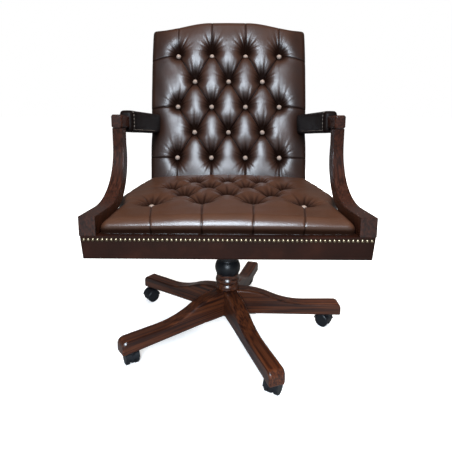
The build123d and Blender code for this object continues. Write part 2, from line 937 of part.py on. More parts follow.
seat_outline = [
    (inside_post(seat_soft_front), seat_soft_front),
    (inside_post(notch_start), notch_start),
    (half_width(notch_end) - seat_edge, notch_end),
    (half_width(seat_soft_rear) - seat_edge, seat_soft_rear),
]
seat_outline += [(-x, y) for x, y in reversed(seat_outline)]
seat_buttons = []
for row, count in enumerate(seat_rows):
    step = seat_button_step + (seat_button_end - seat_button_step) * row / (len(seat_rows) - 1)
    for column in range(count):
        seat_buttons.append(
            (
                (column - (count - 1) / 2) * step,
                seat_front + seat_button_front + row * seat_button_rise,
            )
        )
seat_pleats = pleats(seat_buttons, seat_button_step, seat_button_rise)
seat_pleat_run = max(span(a, b) for a, b in seat_pleats)
front_row = seat_buttons[: seat_rows[0]]
seat_plane = Plane.XY.offset(seat_top)
seat_pleat_floor = seat_plane.offset(seat_pad - pleat_depth)

with BuildPart() as seat_cushion:
    with BuildSketch(seat_plane):
        Polygon(*seat_outline, align=None)
    extrude(amount=seat_pad * 1.2)
    fillet(seat_cushion.edges().filter_by(Axis.Z), side_round)
    with Locations((0, seat_middle, seat_top + seat_pad - seat_crown_radius)):
        Sphere(seat_crown_radius, mode=Mode.INTERSECT)
    rim = seat_cushion.faces().sort_by(Axis.Z)[-1].edges()
    chamfer(rim, soft_bevel)
    with BuildSketch(*[cross_plane(seat_pleat_floor, middle(a, b), heading(a, b)) for a, b in seat_pleats]):
        Polygon((0, 0), (pleat_mouth, pleat_depth), (-pleat_mouth, pleat_depth), align=None)
    extrude(amount=seat_pleat_run / 2, both=True, mode=Mode.SUBTRACT)
    with BuildSketch(*[cross_plane(seat_pleat_floor, point, -90) for point in front_row]):
        Polygon((0, 0), (pleat_mouth, pleat_depth), (-pleat_mouth, pleat_depth), align=None)
    extrude(amount=seat_width / 3, mode=Mode.SUBTRACT)
    with BuildSketch(seat_plane.offset(seat_pad - tuft_depth)):
        with Locations(*seat_buttons):
            RegularPolygon(tuft_floor, tuft_sides)
    extrude(amount=tuft_depth, taper=-tuft_flare, mode=Mode.SUBTRACT)
save(seat_cushion.part, "seat_cushion")

button_height = 5
button_sides = 8
button_taper = 35

with BuildPart() as buttons:
    with BuildSketch(back_plane.offset(back_pad - tuft_depth)):
        with Locations(*back_buttons):
            RegularPolygon(button_radius, button_sides)
    extrude(amount=button_height, taper=button_taper)
    with BuildSketch(seat_plane.offset(seat_pad - tuft_depth)):
        with Locations(*seat_buttons):
            RegularPolygon(button_radius, button_sides)
    extrude(amount=button_height, taper=button_taper)
save(buttons.part, "buttons")

# One close row of domed nails along the top of the front rail.
nail_count = int((seat_width - nail_pitch) / nail_pitch)
nail_drop = 8
nail_sides = 6
nail_taper = 40

with BuildPart() as nail_trim:
    with BuildSketch(Plane.XZ.offset(-seat_front)):
        with Locations((0, seat_top - nail_drop)):
            with GridLocations(nail_pitch, nail_pitch, nail_count, 1):
                RegularPolygon(nail_radius, nail_sides)
    extrude(amount=nail_height, taper=nail_taper)
save(nail_trim.part, "nail_trim")

# Casters: stems fixed in the legs, and a hooded housing with two wheels turning on each.
caster_headings = (60, 140, 170, 220, 119)
wheel_radius = wheel_diameter / 2
hood_radius = wheel_radius + hood_gap + hood_wall
room_start = caster_web / 2
caster_half = room_start + wheel_gap + wheel_width
housing_gap = 0.6
housing_top = tip_under - housing_gap
stem_under = wheel_radius - 6
stem_gap = 0.5
boss_under = stem_under - 3
axle_inset = 3
hood_lip = 4

with BuildPart() as caster_stems:
    with BuildSketch(Plane.XY.offset(stem_under)):
        with PolarLocations(caster_radius, leg_count, start_angle=first_leg_angle):
            Circle(stem_radius)
    extrude(amount=tip_under + stem_depth - stem_under)
save(caster_stems.part, "caster_stems")

with BuildPart() as caster_housing:
    with BuildSketch(Plane.XZ):
        with Locations((caster_trail, wheel_radius)):
            Circle(hood_radius)
        with Locations((caster_trail, wheel_radius - hood_radius)):
            Rectangle(hood_radius * 3, hood_radius * 2 + hood_lip, mode=Mode.SUBTRACT)
    extrude(amount=caster_half, both=True)
    for room in (Plane.XZ.offset(room_start), Plane.XZ.offset(-room_start - caster_half)):
        with BuildSketch(room):
            with Locations((caster_trail, wheel_radius)):
                Circle(wheel_radius + hood_gap)
        extrude(amount=caster_half, mode=Mode.SUBTRACT)
    with BuildSketch(Plane.XZ):
        with Locations((caster_trail / 2 + axle_radius, wheel_radius + hood_lip / 2)):
            Rectangle(caster_trail + axle_radius * 2, wheel_radius - boss_under)
    extrude(amount=room_start, both=True)
    with BuildSketch(Plane.XY.offset(boss_under)):
        Circle(room_start)
    extrude(amount=housing_top - boss_under)
    with BuildSketch(Plane.XY.offset(stem_under - stem_gap)):
        Circle(stem_radius + running_fit)
    extrude(amount=housing_top, mode=Mode.SUBTRACT)
    with BuildSketch(Plane.XZ):
        with Locations((caster_trail, wheel_radius)):
            Circle(axle_radius + slip_fit)
    extrude(amount=caster_half * 2, both=True, mode=Mode.SUBTRACT)

with BuildPart() as caster_axle:
    with BuildSketch(Plane.XZ):
        with Locations((caster_trail, wheel_radius)):
            Circle(axle_radius)
    extrude(amount=caster_half - axle_inset, both=True)

wheel_bevel = 2

with BuildPart() as wheel:
    with BuildSketch(Plane.XZ.offset(room_start + wheel_gap)):
        with Locations((caster_trail, wheel_radius)):
            Circle(wheel_radius)
    extrude(amount=wheel_width)
    chamfer(wheel.edges().filter_by(GeomType.CIRCLE).sort_by(Axis.Y)[0], wheel_bevel)
    with BuildSketch(Plane.XZ.offset(room_start + wheel_gap)):
        with Locations((caster_trail, wheel_radius)):
            Circle(axle_radius + running_fit)
    extrude(amount=caster_half - axle_inset - room_start, mode=Mode.SUBTRACT)

with BuildPart() as far_wheel:
    mirror(wheel.part, about=Plane.XZ)

for number, angle in enumerate(leg_angles, 1):
    foot = (caster_radius * cos(radians(angle)), caster_radius * sin(radians(angle)), 0)
    place = Pos(*foot) * Rot(0, 0, caster_headings[number - 1])
    save(place * caster_housing.part, f"caster_housing_{number}")
    save(place * caster_axle.part, f"caster_axle_{number}")
    save(place * wheel.part, f"wheel_{number}_a")
    save(place * far_wheel.part, f"wheel_{number}_b")
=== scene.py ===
import json
import bpy
import numpy as np
from mathutils import Matrix


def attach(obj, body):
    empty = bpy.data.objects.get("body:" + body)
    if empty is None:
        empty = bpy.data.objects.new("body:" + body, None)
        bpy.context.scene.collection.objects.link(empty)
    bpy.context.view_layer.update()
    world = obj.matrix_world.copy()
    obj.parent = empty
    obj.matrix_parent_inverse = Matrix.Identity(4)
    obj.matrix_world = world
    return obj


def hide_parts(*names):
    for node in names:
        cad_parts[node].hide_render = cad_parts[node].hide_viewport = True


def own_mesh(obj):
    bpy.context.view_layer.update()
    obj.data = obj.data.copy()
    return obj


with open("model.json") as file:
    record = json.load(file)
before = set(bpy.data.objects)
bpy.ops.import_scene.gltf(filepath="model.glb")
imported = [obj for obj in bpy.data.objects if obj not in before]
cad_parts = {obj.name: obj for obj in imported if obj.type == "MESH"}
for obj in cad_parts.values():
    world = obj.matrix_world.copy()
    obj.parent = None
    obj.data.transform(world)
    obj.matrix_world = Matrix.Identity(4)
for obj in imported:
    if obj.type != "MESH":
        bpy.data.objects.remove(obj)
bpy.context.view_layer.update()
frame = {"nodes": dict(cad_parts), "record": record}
print("frame loaded")

# All shapes below are worked out in millimetres in the frame of the chair:
# floor at Z 0, column on the Z axis, sitter facing -Y.
mm = 0.001
rails = {"half": 320, "front": -338, "top": 409.0, "taper": 0.076}  # the leather-covered frame under the seat


def addObject(name, data):
    item = bpy.data.objects.new(name, data)
    bpy.context.scene.collection.objects.link(item)
    return item


def addPiece(name, points, quads, material, body, wearAndShade=None, triangles=()):
    # points are millimetres, quads and triangles are index rows,
    # and the optional wear values, one number a point, mix rubbed leather with painted shade in its folds
    mesh = bpy.data.meshes.new(name)
    mesh.from_pydata((points * mm).tolist(), [], quads.tolist() + [t.tolist() for t in triangles])
    mesh.update()
    if wearAndShade is not None:
        layer = mesh.attributes.new("wearAndShade", "FLOAT", "POINT")
        layer.data.foreach_set("value", wearAndShade.astype(np.float32).ravel())
    mesh.shade_smooth()
    mesh.materials.append(material)
    piece = addObject(name, mesh)
    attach(piece, body)
    return piece


def gridFaces(rows, columns, loopColumns=False, start=0):
    # quads between neighbouring points of a grid, with the last column joined to the first if looped
    last = columns if loopColumns else columns - 1
    r, c = np.meshgrid(np.arange(rows - 1), np.arange(last), indexing="ij")
    n = (c + 1) % columns
    low, high = r * columns, (r + 1) * columns
    return np.stack([low + c, low + n, high + n, high + c], axis=-1).reshape(-1, 4) + start


def loopedGrids(number, rows, columns):
    # the quads of several equal looped grids, one after another
    return np.concatenate([gridFaces(rows, columns, True, n * rows * columns) for n in range(number)])


def unit(vectors):
    return vectors / np.linalg.norm(vectors, axis=-1, keepdims=True)


def ease(t):
    # smooth step from 0 to 1
    t = np.clip(t, 0, 1)
    return t * t * (3 - 2 * t)


def ripple(x, y, size, seed):
    # slow uneven swell: the sum of five sine waves of about the given wavelength in random directions
    rng = np.random.default_rng(seed)
    waves, circle = 5, 6.28
    turns, phases = rng.uniform(0, circle, waves), rng.uniform(0, circle, waves)
    stretches = rng.uniform(0.7, 1.4, waves)
    total = np.zeros_like(x)
    for turn, phase, stretch in zip(turns, phases, stretches):
        total += np.sin((x * np.cos(turn) + y * np.sin(turn)) * circle / (size * stretch) + phase)
    return total / waves


# Materials


def linear(code):
    # sRGB hex to linear colour
    channels = np.array([int(code[i:i + 2], 16) for i in (0, 2, 4)]) / 255
    channels = np.where(channels < 0.04045, channels / 12.92, ((channels + 0.055) / 1.055) ** 2.4)
    return (*channels.tolist(), 1.0)


def addNode(tree, kind, inputs=None, links=None, **settings):
    node = tree.nodes.new(kind)
    for key, value in settings.items():
        setattr(node, key, value)
    for key, value in (inputs or {}).items():
        node.inputs[key].default_value = value
    for key, source in (links or {}).items():
        tree.links.new(source, node.inputs[key])
    return node


def newMaterial(name, roughness):
    material = bpy.data.materials.new(name)
    material.use_nodes = True
    shader = material.node_tree.nodes["Principled BSDF"]
    shader.inputs["Roughness"].default_value = roughness
    return material, material.node_tree, shader


def plainMaterial(name, code, roughness, metallic=0.0):
    # one even colour
    material, _, shader = newMaterial(name, roughness)
    shader.inputs["Base Color"].default_value = linear(code)
    shader.inputs["Metallic"].default_value = metallic
    return material


# cloud, crease, pore and relief are sizes in millimetres, and stops are where recess, body and crest lie
hide = {"cloud": 55, "crease": 6, "pore": 1.5, "relief": 0.6, "creaseShare": 0.6, "stops": (0.12, 0.6, 1.0)}
leatherLook = {**hide, "recess": "120805", "body": "1f0f08", "crest": "321b0f", "rough": 0.37,
               "poreDepth": 0.3, "shine": 0.85}
# the seat takes a lighter copy of the leather: painted light on its top and front roll
seatLook = {**leatherLook, "body": "28160e", "crest": "41281b", "rough": 0.33}
railLook = {**hide, "recess": "150a06", "body": "23100a", "crest": "361a10", "rough": 0.4, "poreDepth": 0.2,
            "shine": 0.15}
# the arm pads take a darker copy of the leather: painted shade on their inward-facing sides
padLook = {**hide, "recess": "0d0807", "body": "1a100d", "crest": "2c1d17", "rough": 0.42, "poreDepth": 0.25,
           "shine": 0.5}
# shares of the cloud and of the wear with its painted shade in the tone, and the shine that is left in folds,
# where the lower shine is painted shade of the reflections
wornShadedTone = {"cloud": 0.35, "wearAndShade": 0.8, "shadedShine": 0.1}
evenTone = {"cloud": 0.9, "base": 0.12}


def makeLeather(name, look, wornShaded):
    # antique brown leather: painted shade darkens it and dulls its shine in the folds,
    # it is rubbed lighter on the crests, with fine pores that break up the shine
    material, tree, shader = newMaterial(name, look["rough"])
    shader.inputs["Specular IOR Level"].default_value = look["shine"]
    place = addNode(tree, "ShaderNodeTexCoord").outputs["Object"]
    cloud = addNode(tree, "ShaderNodeTexNoise", {"Scale": 1 / (look["cloud"] * mm), "Detail": 4.0},
                    {"Vector": place})
    pores = addNode(tree, "ShaderNodeTexVoronoi", {"Scale": 1 / (look["pore"] * mm)}, {"Vector": place})
    creases = addNode(tree, "ShaderNodeTexNoise", {"Scale": 1 / (look["crease"] * mm), "Detail": 3.0},
                      {"Vector": place})
    share = (wornShadedTone if wornShaded else evenTone)["cloud"]
    tone = addNode(tree, "ShaderNodeMath", {1: share}, {0: cloud.outputs["Fac"]}, operation="MULTIPLY")
    # with the wear values the colour and the shine fall in the folds as painted shade, and rise on the rubbed
    # crests
    if wornShaded:
        wearAndShade = addNode(tree, "ShaderNodeAttribute", attribute_name="wearAndShade").outputs["Fac"]
        level = addNode(tree, "ShaderNodeMath", {1: wornShadedTone["wearAndShade"]}, {0: wearAndShade, 2: tone.outputs[0]},
                        operation="MULTIPLY_ADD")
        shadedShine = look["shine"] * wornShadedTone["shadedShine"]
        polishAndShade = addNode(tree, "ShaderNodeMapRange", {"To Min": shadedShine, "To Max": look["shine"]},
                         {"Value": wearAndShade})
        tree.links.new(polishAndShade.outputs["Result"], shader.inputs["Specular IOR Level"])
    else:
        level = addNode(tree, "ShaderNodeMath", {1: evenTone["base"]}, {0: tone.outputs[0]}, operation="ADD")
    ramp = addNode(tree, "ShaderNodeValToRGB", None, {"Fac": level.outputs[0]})
    stops = ramp.color_ramp.elements
    stops[0].position, stops[0].color = look["stops"][0], linear(look["recess"])
    stops[1].position, stops[1].color = look["stops"][2], linear(look["crest"])
    stops.new(look["stops"][1]).color = linear(look["body"])
    tree.links.new(ramp.outputs["Color"], shader.inputs["Base Color"])
    grain = addNode(tree, "ShaderNodeMath", {1: look["creaseShare"]},
                    {0: creases.outputs["Fac"], 2: pores.outputs["Distance"]}, operation="MULTIPLY_ADD")
    bump = addNode(tree, "ShaderNodeBump", {"Strength": look["poreDepth"], "Distance": look["relief"] * mm},
                   {"Height": grain.outputs[0]})
    tree.links.new(bump.outputs["Normal"], shader.inputs["Normal"])
    return material


# grain is the length and the width of a streak in metres, edge the radius of the eased corners in millimetres
walnut = {"coat": 0.35, "coatRough": 0.2, "stops": (0.4, 0.62)}
legLook = {**walnut, "dark": "28110a", "light": "5a2f1a", "rough": 0.3, "edge": 4, "grain": (0.22, 0.0045)}
# the arms and posts take a darker copy of the walnut than the legs: painted shade, mostly on the fronts of
# the arm blocks
armLook = {**walnut, "dark": "1c0c07", "light": "371b11", "rough": 0.24, "edge": 2.5, "grain": (0.3, 0.004)}


def makeWood(name, along, look):
    # lacquered dark walnut: brown streaks that run along the piece under a clear gloss, corners eased
    material, tree, shader = newMaterial(name, look["rough"])
    shader.inputs["Coat Weight"].default_value = look["coat"]
    shader.inputs["Coat Roughness"].default_value = look["coatRough"]
    place = addNode(tree, "ShaderNodeTexCoord").outputs["Object"]
    turned = addNode(tree, "ShaderNodeMapping", {"Rotation": along}, {"Vector": place}, vector_type="TEXTURE")
    long, wide = look["grain"]
    drawn = addNode(tree, "ShaderNodeMapping", {"Scale": (1 / long, 1 / wide, 1 / wide)},
                    {"Vector": turned.outputs["Vector"]})
    streak = addNode(tree, "ShaderNodeTexNoise", {"Scale": 1.0, "Detail": 6.0, "Distortion": 0.6},
                     {"Vector": drawn.outputs["Vector"]})
    ramp = addNode(tree, "ShaderNodeValToRGB", None, {"Fac": streak.outputs["Fac"]})
    stops = ramp.color_ramp.elements
    stops[0].position, stops[0].color = look["stops"][0], linear(look["dark"])
    stops[1].position, stops[1].color = look["stops"][1], linear(look["light"])
    tree.links.new(ramp.outputs["Color"], shader.inputs["Base Color"])
    eased = addNode(tree, "ShaderNodeBevel", {"Radius": look["edge"] * mm}, samples=4)
    tree.links.new(eased.outputs["Normal"], shader.inputs["Normal"])
    return material


leather = makeLeather("antique_brown_leather", leatherLook, True)
plainLeather = makeLeather("antique_brown_leather_plain", railLook, False)
seatLeather = makeLeather("antique_brown_leather_seat", seatLook, True)
padLeather = makeLeather("dark_arm_leather", padLook, True)
black = plainMaterial("satin_black_plastic", "14161a", 0.38)  # dull black with a soft sheen
enamel = plainMaterial("black_enamel", "101113", 0.3)  # painted steel, nearly black
steel = plainMaterial("bright_steel", "b8babd", 0.28, 1.0)  # plain bare steel
brass = plainMaterial("antique_brass", "8f8069", 0.34, 1.0)  # darkened nail heads
plywood = plainMaterial("stained_plywood", "20110b", 0.7)  # dull board stained dark
buttonLeather = plainMaterial("button_leather", "8a796f", 0.2)  # leather covers painted pale and glossy: a painted highlight on the domes
waxedThread = plainMaterial("waxed_thread", "94877d", 0.55)  # pale stitches
print("materials ready")

# Deep-buttoned pillows

pleats = {"width": 1.6, "depth": 2.4}


def tuftField(across, along, acrossSpan, alongSpan, size):
    # Buttons lie where across + along is odd, in half steps, so the pleats between them draw diamonds.
    # In each diamond s and t run from -1 to 1 between opposite pleats, and an arch is 1 - s^2.
    # The pillow is the root of two arches multiplied.
    # Outside the buttoned part the pattern goes on straight, so the outer pleats run out to the edges.
    # Returns depth from 0 on the crest to 1 in a pleat, and the distance to the nearest pleat.
    a = np.clip(across, -acrossSpan, acrossSpan)
    b = np.clip(along, alongSpan[0], alongSpan[1])
    s = (a + b) - 2 * np.round((a + b) / 2)
    t = (a - b) - 2 * np.round((a - b) / 2)
    archS, archT = np.clip(1 - s * s, 0, 1), np.clip(1 - t * t, 0, 1)
    pillow = (archS * archT) ** 0.5
    beyond = np.minimum(np.abs(across - a), np.abs(along - b) * size[1] / size[0]) * size[0]
    pleat = np.minimum(1 - np.abs(s), 1 - np.abs(t)) * size[0] * size[1] / np.hypot(*size)
    return 1 - pillow, np.maximum(pleat, beyond)


gathers = {"fine": (17, 2.1), "finer": (29, 1), "finerShare": 0.6, "fan": 1.9, "soft": 0.7, "window": 3.5}


def hollows(x, y, buttons, toward, size, fold):
    # Each button draws the leather into a hollow exp(-rho^blunt) that reaches further on the side the gathers
    # fan to. There rho swings with two cosines of the angle, so that fine folds run out over the rim.
    total = np.zeros_like(x)
    wide, tall, low = size
    swing, blunt = fold
    window = tall * gathers["window"]
    for number, (bx, by) in enumerate(buttons):
        near = (np.abs(x - bx) < window) & (np.abs(y - by) < window)
        dx, dy = x[near] - bx, (y[near] - by) * toward
        reach = low + (tall - low) * ease(dy / low + 0.5)
        turn = np.arctan2(dx, dy)
        fine, finer = [np.cos(turn * count + number * shift)
                       for count, shift in (gathers["fine"], gathers["finer"])]
        fan = ease((gathers["fan"] - np.abs(turn)) / gathers["soft"])
        rho = np.hypot(dx / wide, dy / reach) * (1 + swing * (fine + gathers["finerShare"] * finer) * fan)
        total[near] = np.maximum(total[near], np.exp(-rho ** blunt))
    return total


def sheetGrid(half, low, high, spread, grid):
    # points of a flat sheet that runs past its face by spread on every side
    a = np.arange(-half - spread, half + spread, grid)
    b = np.arange(low - spread, high + spread, grid)
    b, a = np.meshgrid(b, a, indexing="ij")
    return a, b


def rollOver(a, b, halfA, lowB, highB, roll):
    # A flat sheet wrapped over a rounded block: beyond the face the sheet bends round the edge by its own
    # length and then runs straight down. At a corner the two lengths add as the cube root of their cubes.
    # Returns the two face coordinates and the drop below the face.
    ea = np.maximum(np.abs(a) - (halfA - roll), 0)
    eb = np.maximum(b - (highB - roll), 0) + np.maximum(lowB + roll - b, 0)
    length = (ea ** 3 + eb ** 3) ** (1 / 3)
    safe = np.maximum(length, 1e-6)
    bend = np.minimum(length / roll, np.pi / 2)
    x = np.sign(a) * (np.minimum(np.abs(a), halfA - roll) + roll * np.sin(bend) * ea / safe)
    side = np.where(b > (lowB + highB) / 2, 1, -1)
    y = np.clip(b, lowB + roll, highB - roll) + side * roll * np.sin(bend) * eb / safe
    return x, y, roll * (1 - np.cos(bend)) + np.maximum(length - roll * np.pi / 2, 0)


# The back: its face coordinates are x across, v up the raked board and w out from it.
# reach and lower are the width, the length and the short side of a hollow.
# The square of a distance over a crown value is the fall of the face in millimetres.
back = {"width": 548, "foot": -6, "corner": 559, "crest": 582, "pad": 68, "lift": 1, "rake": 11.7, "y": 240,
        "roll": 16, "wrap": 21, "grid": 1.7, "shoulder": (0.25, 0.62), "humpFrom": 330, "clear": 0.5,
        "step": 119, "rise": 90, "firstRow": 455.7, "rows": (4, 3, 4, 3, 4), "pillow": 14, "hollow": 19,
        "reach": (21, 35, 15), "lower": (17, 28, 14), "fold": (0.04, 1.6), "hollowShade": (0.12, 2.2), "fade": 26,
        "droop": 13, "droopRun": 80, "middle": 285, "crown": 7600, "sideCrown": 700, "topCrown": 900,
        "swell": (60, 3), "swellHeight": 0.8}
backShade = {"pillow": 0.25, "hollowShade": 1.6, "pleat": 0.7, "dent": 0.6, "edge": 0.4,
             "side": (10, 60), "foot": (25, 40)}
armDent = {"x": 276, "wide": 34, "v": 205, "tall": 46, "depth": 15}
rake = np.radians(back["rake"])
backOrigin = np.array([0, back["y"], rails["top"]])
backUp = np.array([0, np.sin(rake), np.cos(rake)])
backOut = np.array([0, -np.cos(rake), np.sin(rake)])


def onBack(x, v, w):
    # face coordinates of the back to the chair's frame
    return backOrigin + x[..., None] * np.array([1.0, 0, 0]) + v[..., None] * backUp + w[..., None] * backOut


def backPoints(x, v, w):
    # raises the top edge to its hump and keeps the foot clear of the rail
    start, run = back["shoulder"]
    hump = (back["crest"] - back["corner"]) * (1 - ease((np.abs(x) / (back["width"] / 2) - start) / run))
    v = v + hump * ease((v - back["humpFrom"]) / (back["corner"] - back["humpFrom"]))
    points = onBack(x, v, w).reshape(-1, 3)
    points[:, 2] = np.maximum(points[:, 2], rails["top"] + back["clear"])
    return points


backButtons = [((c - (n - 1) / 2) * back["step"], back["firstRow"] - r * back["rise"])
               for r, n in enumerate(back["rows"]) for c in range(n)]


def backHollows(x, v, fold):
    # the gathers fan upward from every button, and from the last row also downward
    lastButtons = backButtons[-back["rows"][-1]:]
    return np.maximum(hollows(x, v, backButtons, 1, back["reach"], fold),
                      hollows(x, v, lastButtons, -1, back["lower"], fold))


def backHeight(x, v):
    # Height of the buttoned face above the board: a crown that falls with the square of the distance from the
    # middle, and more past the outer buttons, less pillows, pleats, hollows and the dents of the arms.
    # Also returns the wear with painted shade, 1 on the crests and less in the folds, down the sides and at
    # the foot; in the folds, pleats, hollows and arm dents the lower value is painted shade.
    half, outer, lastIndex = back["step"] / 2, max(back["rows"]) - 1, len(back["rows"]) - 1
    lastRow = back["firstRow"] - lastIndex * back["rise"]
    pastSide = np.maximum(np.abs(x) - half * outer, 0)
    pastTop, pastFoot = np.maximum(v - back["firstRow"], 0), np.maximum(lastRow - v, 0)
    rowShare = np.clip((v - lastRow) / (back["firstRow"] - lastRow), 0, 1)
    droop = back["droop"] * rowShare * (pastSide / back["droopRun"]) ** 2
    depth, pleat = tuftField(x / half, (v + droop - back["firstRow"]) / back["rise"], outer, (-lastIndex, 0),
                             (half, back["rise"]))
    tuft = depth * np.exp(-np.hypot(pastSide, pastTop + pastFoot) / back["fade"])
    line = np.exp(-(pleat / pleats["width"]) ** 2)
    dent = np.exp(-((np.abs(x) - armDent["x"]) / armDent["wide"]) ** 2
                  - ((v - armDent["v"]) / armDent["tall"]) ** 2)
    crown = ((x ** 2 + (v - back["middle"]) ** 2) / back["crown"] + pastSide ** 2 / back["sideCrown"]
             + pastTop ** 2 / back["topCrown"])
    swell = ripple(x, v, *back["swell"]) * back["swellHeight"]
    w = (back["pad"] + back["lift"] - crown - back["pillow"] * tuft
         - back["hollow"] * backHollows(x, v, back["fold"]) - pleats["depth"] * line + swell
         - armDent["depth"] * dent)
    # painted shade: the wear values darken the leather toward the pleats, in the hollows above the buttons,
    # in the pleats and in the arm dents; they also make it darker down the sides and at the foot
    sideStart, sideRun = backShade["side"]
    footStart, footRun = backShade["foot"]
    edge = np.maximum(ease((pastSide - sideStart) / sideRun), ease((lastRow - footStart - v) / footRun))
    wearAndShade = (1 - backShade["pillow"] * tuft - backShade["hollowShade"] * backHollows(x, v, back["hollowShade"])
            - backShade["pleat"] * line - backShade["dent"] * dent - backShade["edge"] * edge)
    return w, np.clip(wearAndShade, 0, 1)


spread = back["roll"] * np.pi / 2 + back["pad"] + back["wrap"] - back["roll"] * 2
a, b = sheetGrid(back["width"] / 2, back["foot"], back["corner"], spread, back["grid"])
x, v, drop = rollOver(a, b, back["width"] / 2, back["foot"], back["corner"], back["roll"])
height, wearAndShade = backHeight(x, v)
w = np.maximum(height - drop, -back["wrap"])  # the leather is drawn over the edge of the board
points = backPoints(x, v, w)
backCushion = addPiece("back_cushion_leather", points, gridFaces(*a.shape), leather, "seat", wearAndShade)
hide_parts("back_cushion")
print("back cushion", len(points))

# The outer cover is a plain sheet drawn over the rear of the board: a low dome, which is one less the square
# across times one less the square up, with its sides rolled over toward the board.
cover = {"half": 271, "foot": -6, "corner": 553, "near": 17.6, "far": 25, "bulge": 4, "roll": 7, "grid": 4,
         "middle": 275, "reach": 285, "swell": (140, 11), "swellHeight": 0.6, "wearAndShade": 0.35}
a, b = sheetGrid(cover["half"], cover["foot"], cover["corner"], cover["roll"] * np.pi / 2, cover["grid"])
x, v, drop = rollOver(a, b, cover["half"], cover["foot"], cover["corner"], cover["roll"])
dome = (1 - (x / cover["half"]) ** 2) * (1 - ((v - cover["middle"]) / cover["reach"]) ** 2)
swell = ripple(x, v, *cover["swell"]) * cover["swellHeight"]
w = -np.maximum(cover["far"] + cover["bulge"] * dome + swell - drop, cover["near"])
points = backPoints(x, v, w)
wearAndShade = np.full(len(points), cover["wearAndShade"])
backCover = addPiece("back_cover_leather", points, gridFaces(*a.shape)[:, ::-1], leather, "seat", wearAndShade)
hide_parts("back_cover")
print("back cover", len(points))

# The seat: inside is how far its sides lie inside the rails,
# first between the posts and then over the side rails.
seat = {"front": -335, "rear": 204, "half": 285.0, "pad": 52, "lift": 2, "roll": 26, "least": 0.4,
        "grid": 1.8, "inside": (36.8, 3), "postsEnd": -160, "widen": 60, "tuck": 12, "tuckFrom": -250,
        "tuckHeight": 24, "firstRow": -192, "rise": 92, "step": 127, "stepEnd": 100, "draw": 0.11,
        "rows": (4, 3, 4, 3), "pillow": 15, "hollow": 15, "reach": (24, 36, 14), "fold": (0.09, 1.8),
        "hollowShade": (0.2, 2.2), "fade": 30, "pleatRun": 25, "middle": -20, "crownX": 5600, "crownY": 8800,
        "swell": (70, 8), "swellHeight": 0.9}
seatShade = {"pillow": 0.25, "hollowShade": 1.3, "pleat": 0.7, "under": 0.7, "underFrom": 20, "underRun": 16}


def seatHalf(y):
    # half the width of the seat cushion: drawn in between the arm posts, then out over the side rails
    taper = rails["taper"] * (y - rails["front"])
    between, over = [rails["half"] - inside - taper for inside in seat["inside"]]
    return between + (over - between) * ease((y - seat["postsEnd"]) / seat["widen"])


def seatStep(y):
    # button spacing, closer toward the rear, and the pleats draw together again down the front
    behind = y - seat["firstRow"]
    closer = (seat["stepEnd"] - seat["step"]) * behind / (seat["rise"] * (len(seat["rows"]) - 1))
    return seat["step"] + np.where(behind < 0, behind * seat["draw"], closer)


seatButtons = []
for row, count in enumerate(seat["rows"]):
    rowY = seat["firstRow"] + row * seat["rise"]
    seatButtons += [((c - (count - 1) / 2) * seatStep(rowY), rowY) for c in range(count)]


def seatHeight(x, y):
    # height of the buttoned seat above its rails, and its wear with painted shade in the folds,
    # built like the back with the gathers to the rear
    half, outer, lastIndex = seatStep(y) / 2, max(seat["rows"]) - 1, len(seat["rows"]) - 1
    lastRow = seat["firstRow"] + lastIndex * seat["rise"]
    pastSide = np.maximum(np.abs(x) - half * outer, 0)
    pastRows = np.maximum(seat["firstRow"] - y, 0) + np.maximum(y - lastRow, 0)
    depth, pleat = tuftField(x / half, (y - seat["firstRow"]) / seat["rise"], outer, (0, lastIndex),
                             (seat["step"] / 2, seat["rise"]))
    tuft = depth * np.exp(-np.hypot(pastSide, pastRows) / seat["fade"])
    line = np.exp(-(pleat / pleats["width"]) ** 2) * np.exp(-pastSide / seat["pleatRun"])
    pit = hollows(x, y, seatButtons, 1, seat["reach"], seat["fold"])
    hollowShade = hollows(x, y, seatButtons, 1, seat["reach"], seat["hollowShade"])
    crown = x ** 2 / seat["crownX"] + (y - seat["middle"]) ** 2 / seat["crownY"]
    swell = ripple(x, y, *seat["swell"]) * seat["swellHeight"]
    z = (seat["pad"] + seat["lift"] - crown - seat["pillow"] * tuft - seat["hollow"] * pit
         - pleats["depth"] * line + swell)
    wearAndShade = 1 - seatShade["pillow"] * tuft - seatShade["hollowShade"] * hollowShade - seatShade["pleat"] * line
    return z, np.clip(wearAndShade, 0, 1)


spread = seat["roll"] * np.pi / 2 + seat["pad"] - seat["roll"] * 2
a, b = sheetGrid(seat["half"], seat["front"], seat["rear"], spread, seat["grid"])
x, y, drop = rollOver(a, b, seat["half"], seat["front"], seat["rear"], seat["roll"])
x = x * seatHalf(y) / seat["half"]
height, wearAndShade = seatHeight(x, y)
z = rails["top"] + np.maximum(height - drop, seat["least"])
# the front tucks in under its roll, and the leather there is darkened as painted shade
tuck = seat["tuck"] * ease((rails["top"] + seat["tuckHeight"] - z) / seat["tuckHeight"])
y = y + np.where(y < seat["tuckFrom"], tuck, 0)
wearAndShade = wearAndShade - seatShade["under"] * ease((rails["top"] + seatShade["underFrom"] - z) / seatShade["underRun"])
points = np.stack([x, y, z], axis=-1).reshape(-1, 3)
seatCushion = addPiece("seat_cushion_leather", points, gridFaces(*a.shape), seatLeather, "seat", wearAndShade)
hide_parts("seat_cushion")
print("seat cushion", len(points))

# Buttons and nails


